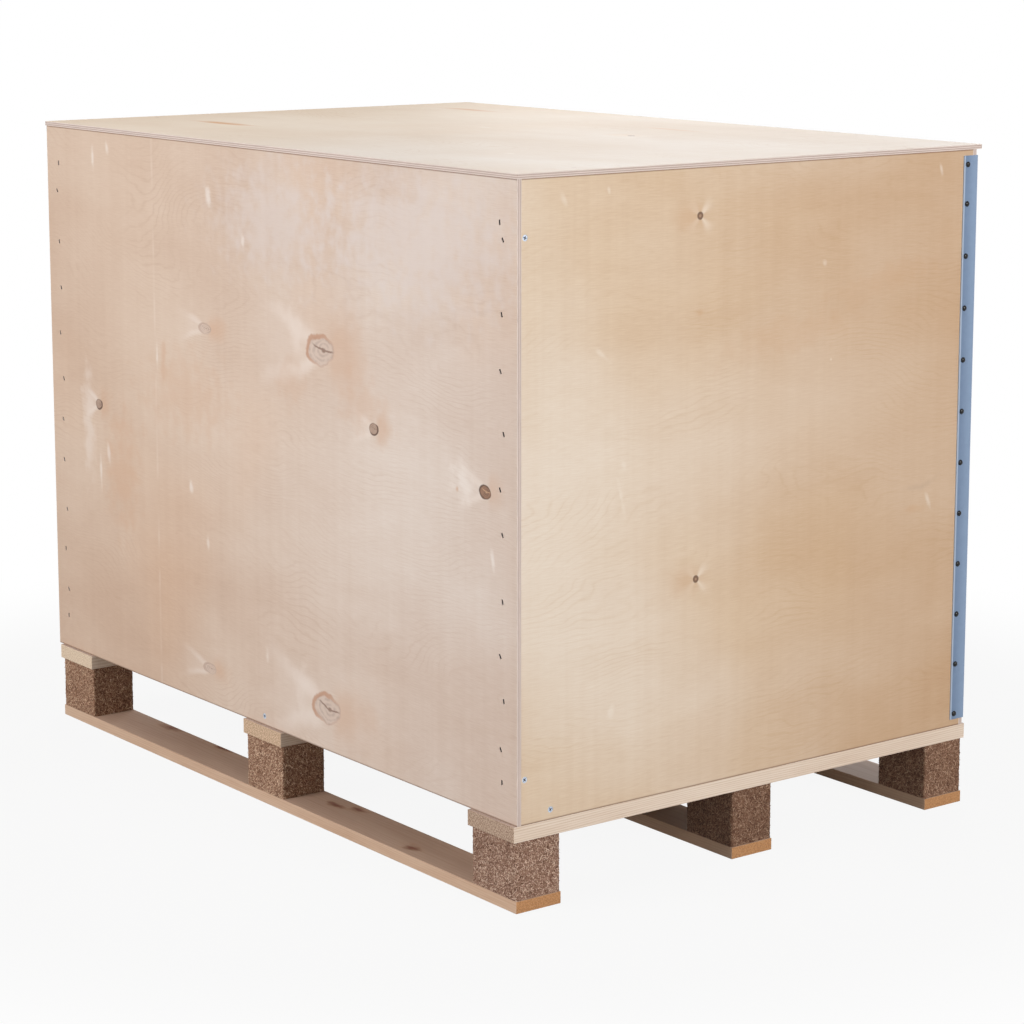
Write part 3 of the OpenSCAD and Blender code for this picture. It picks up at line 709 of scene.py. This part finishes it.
def pressedChips(name, look, shade):
    material, g, surface = newMaterial(name)
    feeds = {label: dim(colour, shade) for label, colour in look.items()}
    chips = g.place(pressedChip, dict(feeds, Place=g.objectPlace()))
    dressSurface(g, surface, chips["Color"], chips["Height"], chipFinish)
    return material


def woodSlivers(name, look, shade):
    material, g, surface = newMaterial(name)
    spot = g.objectPlace()
    patch = g.fade(g.cloud(spot, (260, 260, 260), 2), 0.36, 0.66)
    tone = g.blend(patch, dim(look["dark"], shade), dim(look["pale"], shade))
    fibre = g.cloud(spot, (1400, 1400, 1400), 2)
    dressSurface(g, surface, g.mottle(tone, 0.4, fibre), fibre, sliverFinish)
    return material


# metals

angleLook = {**paints(dark=(102, 122, 150), pale=(134, 154, 181), edge=(162, 176, 196)),
             "edgeAt": 0.3718, "edgeWidth": 0.0016, "bendAt": 0.394, "metallic": 0.35, "spangle": 150.0,
             "rough": (0.2, 0.42), "bump": (0.1, 0.0002)}


def galvanised(name, look):
    material, g, surface = newMaterial(name)
    spot = g.objectPlace()
    y = g.split3(spot)[1]
    zinc = g.place(zincSpangle, {"Place": spot, "Size": look["spangle"]})
    # painted shading: darker at the free edge, paler towards the bend
    share = g.mulAdd(g.fade(y, look["edgeAt"], look["bendAt"]), 0.65, g.times(zinc["Tone"], 0.35))  # paler to the bend
    tone = g.blend(share, look["dark"], look["pale"])
    # pale band at the free edge: bare cut steel, with a painted highlight
    cutEdgeAndHighlight = g.fade(y, look["edgeAt"] + look["edgeWidth"], look["edgeAt"])
    tone = g.blend(cutEdgeAndHighlight, tone, look["edge"])
    g.feed(surface, {"Base Color": tone, "Roughness": g.mulAdd(zinc["Tone"], *look["rough"]),
                     "Normal": g.bump(zinc["Height"], *look["bump"]), "Metallic": look["metallic"]})
    return material


zincLook = {**paints(tone=(214, 223, 236), shade=(172, 184, 202)), "metallic": 0.8, "rough": 0.24, "specular": 0.5}
darkLook = {**paints(tone=(20, 19, 21), shade=(10, 10, 11)), "metallic": 0.0, "rough": 0.03, "specular": 0.3}
# painted shade for the screws' cross recesses
recessShadeTone = paint(66, 76, 92)


def fastenerSteel(name, look, recessed=False):
    material, g, surface = newMaterial(name)
    mark = g.cloud(g.objectPlace(), (900, 900, 900), 3, 0.6)
    tone = g.blend(g.fade(mark, 0.35, 0.65), look["shade"], look["tone"])
    if recessed:  # painted shade in the cross recess
        recess = g.add("ShaderNodeAttribute", attribute_name="recess").outputs["Fac"]
        tone = g.blend(recess, tone, recessShadeTone)
    g.feed(surface, {"Base Color": tone, "Roughness": g.mulAdd(mark, 0.16, look["rough"]),
                     "Metallic": look["metallic"], "Specular IOR Level": look["specular"]})
    return material


# worn copies of the CAD boards and sheets: edges eased, holes kept

boardLook = {"weld": 2e-6, "flat": math.radians(1), "touch": 1e-5, "segments": 2, "profile": 0.6}
easing = {"sheet": 0.4 * mm, "pallet": 0.7 * mm, "deck": 1.2 * mm, "stick": 1.0 * mm}


def copyShape(node):
    source = nodes[node].data
    shape = bmesh.new()
    corners = [shape.verts.new(v.co) for v in source.vertices]
    for face in source.polygons:
        shape.faces.new([corners[i] for i in face.vertices])
    bmesh.ops.remove_doubles(shape, verts=shape.verts, dist=boardLook["weld"])
    return shape


def finishPiece(name, mesh, body, replaced):
    piece = bpy.data.objects.new(name, mesh)
    scene.collection.objects.link(piece)
    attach(piece, body)
    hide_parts(*replaced)


def easedBoard(name, node, offset, material, body="box"):
    look = boardLook
    shape = copyShape(node)
    bmesh.ops.dissolve_limit(shape, angle_limit=look["flat"], verts=shape.verts, edges=shape.edges)
    sides = [(i, side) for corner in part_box(node) for i, side in enumerate(corner)]
    outline = []
    for line in shape.edges:  # an outline edge lies on two sides of the board's box
        ends = [v.co for v in line.verts]
        shared = sum(all(abs(end[i] - side) < look["touch"] for end in ends) for i, side in sides)
        if shared >= 2:
            outline.append(line)
    bmesh.ops.bevel(shape, geom=outline, offset=offset, segments=look["segments"], profile=look["profile"],
                    affect="EDGES", clamp_overlap=True)
    bmesh.ops.recalc_face_normals(shape, faces=shape.faces)
    mesh = bpy.data.meshes.new(name)
    shape.to_mesh(mesh)
    shape.free()
    mesh.materials.append(material)
    finishPiece(name, mesh, body, [node])


sheetLooks = {"front_panel": (frontLook, "box"), "rear_panel": (rearLook, "box"), "left_end_panel": (leftLook, "box"),
              "right_end_panel": (rightLook, "box"), "lid_panel": (lidLook, "lid")}
runnerKnots = {"runner_front": [(-368, -331, 24, 9), (-225, -326, 20, 9), (110, -350, 18, 8), (150, -338, 16, 7),
                                (330, -375, 14, 8)],
               "runner_middle": [(-260, 8, 20, 9), (240, -12, 18, 8)],
               "runner_rear": [(-120, 350, 18, 8), (300, 366, 20, 9)]}
bearerEnds = {"bearer_left": paints(end=(238, 220, 196), speck=(206, 180, 154)),
              "bearer_middle": paints(end=(226, 198, 170), speck=(172, 140, 112)),
              "bearer_right": paints(end=(196, 172, 152), speck=(142, 114, 96))}
deckKnots = [(-310, -250, 20, 12), (180, -120, 18, 11), (-90, 60, 22, 13), (360, 210, 18, 11), (-420, 330, 20, 12)]
grainSeeds = {"runner": 2.0, "bearer": 5.0, "deck": 9.0, "batten": 13.0, "cleat": 15.0}


def dressBoards():
    for node, (look, body) in sheetLooks.items():
        birch = plywood(node + "_birch", look, *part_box(node))
        easedBoard(node + "_birch", node, easing["sheet"], birch, body)
    for i, (node, knots) in enumerate(runnerKnots.items()):
        wood = sawnWood(node + "_sawn", runnerLook, (0, 1, 2), grainSeeds["runner"] + i, knots)
        easedBoard(node + "_sawn", node, easing["pallet"], wood)
    for node, ends in bearerEnds.items():
        wood = sawnWood(node + "_sawn", dict(bearerLook, **ends), (1, 0, 2), grainSeeds["bearer"])
        easedBoard(node + "_sawn", node, easing["pallet"], wood)
    deckWood = sawnWood("deck_sawn", deckLook, (0, 1, 2), grainSeeds["deck"], deckKnots)
    for i in range(1, 8):
        easedBoard(f"deck_board_{i}_sawn", f"deck_board_{i}", easing["deck"], deckWood)
    battenWood = sawnWood("batten_sawn", deckLook, (2, 0, 1), grainSeeds["batten"])
    for side in ("left", "right"):
        easedBoard(f"corner_batten_{side}_sawn", f"corner_batten_{side}", easing["stick"], battenWood)
    cleatWood = sawnWood("cleat_sawn", deckLook, (1, 0, 2), grainSeeds["cleat"])
    for node in [n for n in nodes if n.startswith("lid_cleat_")]:
        easedBoard(node + "_sawn", node, easing["stick"], cleatWood, "lid")


dressBoards()
print("boards and sheets dressed")


# blocks of pressed chips

blockLook = {
    "cell": 3.0 * mm, "fewestCells": 4, "firstSeed": 31, "plainToneAndShade": (0.85, 0.82, 0.8),
    "shape": {"Edge Radius": 3.0 * mm, "Inset": 0.3 * mm, "Roughness": 0.6 * mm, "Sliver Density": 50000.0,
              "Sliver Small": (1.6 * mm, 0.4 * mm, 0.2 * mm), "Sliver Large": (6.5 * mm, 0.9 * mm, 0.4 * mm)},
    # each block's colour scale: partly its own tone, partly painted shade on blocks that sit in shade under the box
    "toneAndShade": {"block_front_left": (0.97, 0.91, 0.86), "block_front_middle": (1.06, 1.03, 1.01),
               "block_front_right": (0.98, 0.98, 1.05), "block_middle_right": (0.57, 0.50, 0.46),
               "block_rear_right": (0.71, 0.64, 0.60)},
}
fullTurn, quarterTurn = 6.283, 1.57


def chipBlockTree():
    takes = sockets("Vector", "Size", "Centre", "Sliver Small", "Sliver Large")
    takes += sockets("Int", "Cells X", "Cells Y", "Cells Z", "Seed") + sockets("Material", "Body", "Slivers")
    takes += sockets("Float", "Edge Radius", "Inset", "Roughness", "Sliver Density")
    g, take = makeGroup("chipBlock", takes, sockets("Geometry", "Geometry"), "GeometryNodeTree")
    cells = {"Vertices " + axis: take["Cells " + axis] for axis in "XYZ"}
    cube = g.add("GeometryNodeMeshCube", {"Size": take["Size"], **cells})
    here = g.first("GeometryNodeInputPosition")
    out = g.first("GeometryNodeInputNormal")
    # the upright edges are rounded: what lies past the core is drawn in to the radius
    half = g.vec("MULTIPLY", take["Size"], (0.5, 0.5, 0.5))
    inner = g.vec("SUBTRACT", half, g.join3(take["Edge Radius"], take["Edge Radius"], 0.0))
    core = g.vec("MAXIMUM", g.vec("MINIMUM", here, inner), g.vec("MULTIPLY", inner, (-1.0, -1.0, -1.0)))
    away = g.vec("SUBTRACT", here, core)
    reach = g.add("ShaderNodeVectorMath", {0: away}, operation="LENGTH").outputs["Value"]
    keep = g.calc("MINIMUM", g.over(take["Edge Radius"], g.larger(reach, 1e-6)), 1.0)
    feeds = {"Geometry": cube.outputs[0], "Position": g.vec("ADD", core, g.scaled(away, keep))}
    rounded = g.first("GeometryNodeSetPosition", feeds)
    pits = g.cloud(g.vec("ADD", here, take["Centre"]), (210, 210, 210), 3, 0.6)
    worn = g.mulAdd(g.fade(pits, 0.40, 0.72), take["Roughness"], take["Inset"])
    feeds = {"Geometry": rounded, "Offset": g.scaled(out, g.times(worn, -1.0))}
    body = g.first("GeometryNodeSetPosition", feeds)
    # slivers lie flat on the upright faces
    upright = g.calc("LESS_THAN", g.absolute(g.split3(out)[2]), 0.5)
    feeds = {"Mesh": body, "Selection": upright, "Density": take["Sliver Density"], "Seed": take["Seed"]}
    scatter = g.add("GeometryNodeDistributePointsOnFaces", feeds).outputs
    stick = g.first("GeometryNodeMeshCube", {"Size": (1.0, 1.0, 1.0)})
    aim = g.spun(scatter["Rotation"], fullTurn, take["Seed"])
    feeds = {0: take["Sliver Small"], 1: take["Sliver Large"], 8: g.plus(take["Seed"], 7.0)}
    size = g.first("FunctionNodeRandomValue", feeds, data_type="FLOAT_VECTOR")
    feeds = {"Points": scatter["Points"], "Instance": stick, "Rotation": aim, "Scale": size}
    sticks = g.first("GeometryNodeInstanceOnPoints", feeds)
    real = g.first("GeometryNodeRealizeInstances", {0: sticks})
    both = g.joined(g.coated(real, take["Slivers"]), g.coated(body, take["Body"]))
    return g.giving(Geometry=g.first("GeometryNodeTransform", {"Geometry": both, "Translation": take["Centre"]}))


def growMesh(name, tree, values, start=None):  # runs a tree once and keeps the result as a plain mesh
    holder = bpy.data.objects.new(name, start or bpy.data.meshes.new(name + "_start"))
    scene.collection.objects.link(holder)
    modifier = holder.modifiers.new("grow", "NODES")
    modifier.node_group = tree
    for item in tree.interface.items_tree:
        if item.item_type == "SOCKET" and item.in_out == "INPUT" and item.name in values:
            modifier[item.identifier] = values[item.name]
    graph = bpy.context.evaluated_depsgraph_get()
    mesh = bpy.data.meshes.new_from_object(holder.evaluated_get(graph), preserve_all_data_layers=True, depsgraph=graph)
    bpy.data.objects.remove(holder)
    mesh.name = name
    return mesh


def dressBlocks(look):
    tree = chipBlockTree()
    for i, node in enumerate(sorted(n for n in nodes if n.startswith("block_"))):
        # block tone with painted shade mixed in
        shade = look["toneAndShade"].get(node, look["plainToneAndShade"])
        chips = pressedChips(node + "_chips", chipLook, shade)
        slivers = woodSlivers(node + "_slivers", sliverLook, shade)
        low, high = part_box(node)
        size = high - low
        values = {"Size": tuple(size), "Centre": tuple((low + high) / 2), "Seed": look["firstSeed"] + i,
                  "Body": chips, "Slivers": slivers, **look["shape"]}
        for axis, length in zip("XYZ", size):
            values["Cells " + axis] = max(look["fewestCells"], round(length / look["cell"]))
        finishPiece(node + "_chips", growMesh(node + "_chips", tree, values), "box", [node])


dressBlocks(blockLook)
print("blocks dressed")


# screws and rivets

def looseParts(node):  # box of each separate solid in a CAD node
    shape = copyShape(node)
    left = set(shape.verts)
    found = []
    while left:
        queue, group = [left.pop()], []
        while queue:
            v = queue.pop()
            group.append(v.co.copy())
            for line in v.link_edges:
                other = line.other_vert(v)
                if other in left:
                    left.remove(other)
                    queue.append(other)
        low = Vector([min(p[i] for p in group) for i in range(3)])
        high = Vector([max(p[i] for p in group) for i in range(3)])
        found.append((low, high))
    shape.free()
    return sorted(found, key=lambda pair: tuple(round(c, 5) for c in pair[0]))


def headSpots(name, wanted):  # a point at each head's outer end, with the direction that it faces
    places, ways = [], []
    for node in wanted:
        for low, high in looseParts(node):
            size, middle = high - low, (low + high) / 2
            axis = max(range(3), key=lambda i: size[i])
            sign = 1 if middle[axis] > 0 else -1
            middle[axis] = high[axis] if sign > 0 else low[axis]
            places.append(middle)
            ways.append([sign if i == axis else 0 for i in range(3)])
    mesh = bpy.data.meshes.new(name + "_spots")
    mesh.from_pydata(places, [], [])
    facingWay = mesh.attributes.new("facing", "FLOAT_VECTOR", "POINT")
    facingWay.data.foreach_set("vector", [c for way in ways for c in way])
    return mesh


def headTree(name, sizes, shapeHead):
    takes = sockets("Geometry", "Geometry") + sockets("Float", *sizes)
    takes += sockets("Int", "Seed") + sockets("Material", "Finish")
    g, take = makeGroup(name, takes, sockets("Geometry", "Geometry"), "GeometryNodeTree")
    way = g.first("GeometryNodeInputNamedAttribute", {"Name": "facing"}, data_type="FLOAT_VECTOR")
    aim = g.first("FunctionNodeAlignRotationToVector", {"Vector": way}, axis="Z")
    feeds = {"Points": take["Geometry"], "Instance": shapeHead(g, take),
             "Rotation": g.spun(aim, quarterTurn, take["Seed"])}
    heads = g.first("GeometryNodeInstanceOnPoints", feeds)
    real = g.first("GeometryNodeRealizeInstances", {0: heads})
    return g.giving(Geometry=g.coated(real, take["Finish"]))


screwLook = {"Head Width": 8.0 * mm, "Shank Width": 4.0 * mm, "Length": 20.0 * mm, "Recess Depth": 1.3 * mm}
screwShape = {"headSides": 32, "shankSides": 16, "barLength": 1.2, "barWidth": 0.28, "sunk": -0.1 * mm,
              "sunkReach": 0.65}
rivetLook = {"Head Width": 8.0 * mm, "Head Height": 2.6 * mm, "Grip": 8.0 * mm, "Tail Width": 7.0 * mm,
             "Tail Height": 1.5 * mm}
rivetShape = {"segments": 24, "rings": 14, "tailSides": 20}
headSeed = 5


def crossHead(g, take):  # countersunk head with a cross recess, on its shank
    shape = screwShape
    r, s = g.times(take["Head Width"], 0.5), g.times(take["Shank Width"], 0.5)
    taper = g.minus(r, s)
    feeds = {"Vertices": shape["headSides"], "Radius Top": r, "Radius Bottom": s, "Depth": taper}
    cone = g.first("GeometryNodeMeshCone", feeds)
    long, thin = g.times(r, shape["barLength"]), g.times(r, shape["barWidth"])
    deep = g.times(take["Recess Depth"], 2.0)
    cut = g.add("GeometryNodeMeshBoolean", operation="DIFFERENCE")
    g.plug(g.moved(cone, g.times(taper, -1.0)), cut.inputs["Mesh 1"])
    for x, y in ((long, thin), (thin, long)):
        g.plug(g.first("GeometryNodeMeshCube", {"Size": g.join3(x, y, deep)}), cut.inputs["Mesh 2"])
    x, y, z = g.split3(g.first("GeometryNodeInputPosition"))
    inside = g.calc("LESS_THAN", g.rootSum(x, y), g.times(r, shape["sunkReach"]))
    sunk = g.times(g.calc("LESS_THAN", z, shape["sunk"]), inside)
    feeds = {"Geometry": cut.outputs[0], "Name": "recess", "Value": sunk}
    marked = g.first("GeometryNodeStoreNamedAttribute", feeds, data_type="FLOAT", domain="FACE")
    feeds = {"Vertices": shape["shankSides"], "Radius": s, "Depth": take["Length"]}
    shank = g.first("GeometryNodeMeshCylinder", feeds)
    return g.joined(g.moved(shank, g.minus(g.times(take["Length"], -0.5), taper)), marked)


def domeHead(g, take):  # low dome on a flat seat, with the clenched tail inside the wall
    shape = rivetShape
    feeds = {"Segments": shape["segments"], "Rings": shape["rings"], "Radius": 1.0}
    ball = g.first("GeometryNodeMeshUVSphere", feeds)
    clipped = g.vec("MAXIMUM", g.first("GeometryNodeInputPosition"), (-2.0, -2.0, 0.0))
    half = g.times(take["Head Width"], 0.5)
    sized = g.vec("MULTIPLY", clipped, g.join3(half, half, take["Head Height"]))
    dome = g.first("GeometryNodeSetPosition", {"Geometry": ball, "Position": sized})
    smooth = g.first("GeometryNodeSetShadeSmooth", {"Geometry": dome})
    feeds = {"Vertices": shape["tailSides"], "Radius": g.times(take["Tail Width"], 0.5), "Depth": take["Tail Height"]}
    tail = g.first("GeometryNodeMeshCylinder", feeds)
    below = g.plus(g.plus(take["Head Height"], take["Grip"]), g.times(take["Tail Height"], 0.5))
    return g.joined(g.moved(tail, g.times(below, -1.0)), g.moved(smooth, g.times(take["Head Height"], -1.0)))


def dressHeads(name, treeName, sizes, shapeHead, finish, wanted):
    tree = headTree(treeName, sizes, shapeHead)
    mesh = growMesh(name, tree, dict(sizes, Seed=headSeed, Finish=finish), headSpots(name, wanted))
    finishPiece(name, mesh, "box", wanted)


def dressFasteners():
    zinc, dark = fastenerSteel("bright_zinc", zincLook), fastenerSteel("dark_steel", darkLook)
    screwZinc = fastenerSteel("screw_zinc", zincLook, recessed=True)
    wanted = ["corner_screws", "base_screws"]
    dressHeads("wall_screws", "crossScrew", screwLook, crossHead, screwZinc, wanted)
    wanted = ["angle_rivets_left", "angle_rivets_right"]
    dressHeads("angle_rivets", "domeRivet", rivetLook, domeHead, dark, wanted)
    angleSteel = galvanised("galvanised_angle", angleLook)
    finishes = {"corner_angle_left": angleSteel, "corner_angle_right": angleSteel, "batten_nails_left": dark,
                "batten_nails_right": dark, "lid_nails": dark, "runner_nails": zinc,
                "bearer_nails": zinc, "deck_nails": zinc}
    for node, material in finishes.items():
        nodes[node].data.materials.clear()
        nodes[node].data.materials.append(material)


dressFasteners()
print("fasteners dressed")
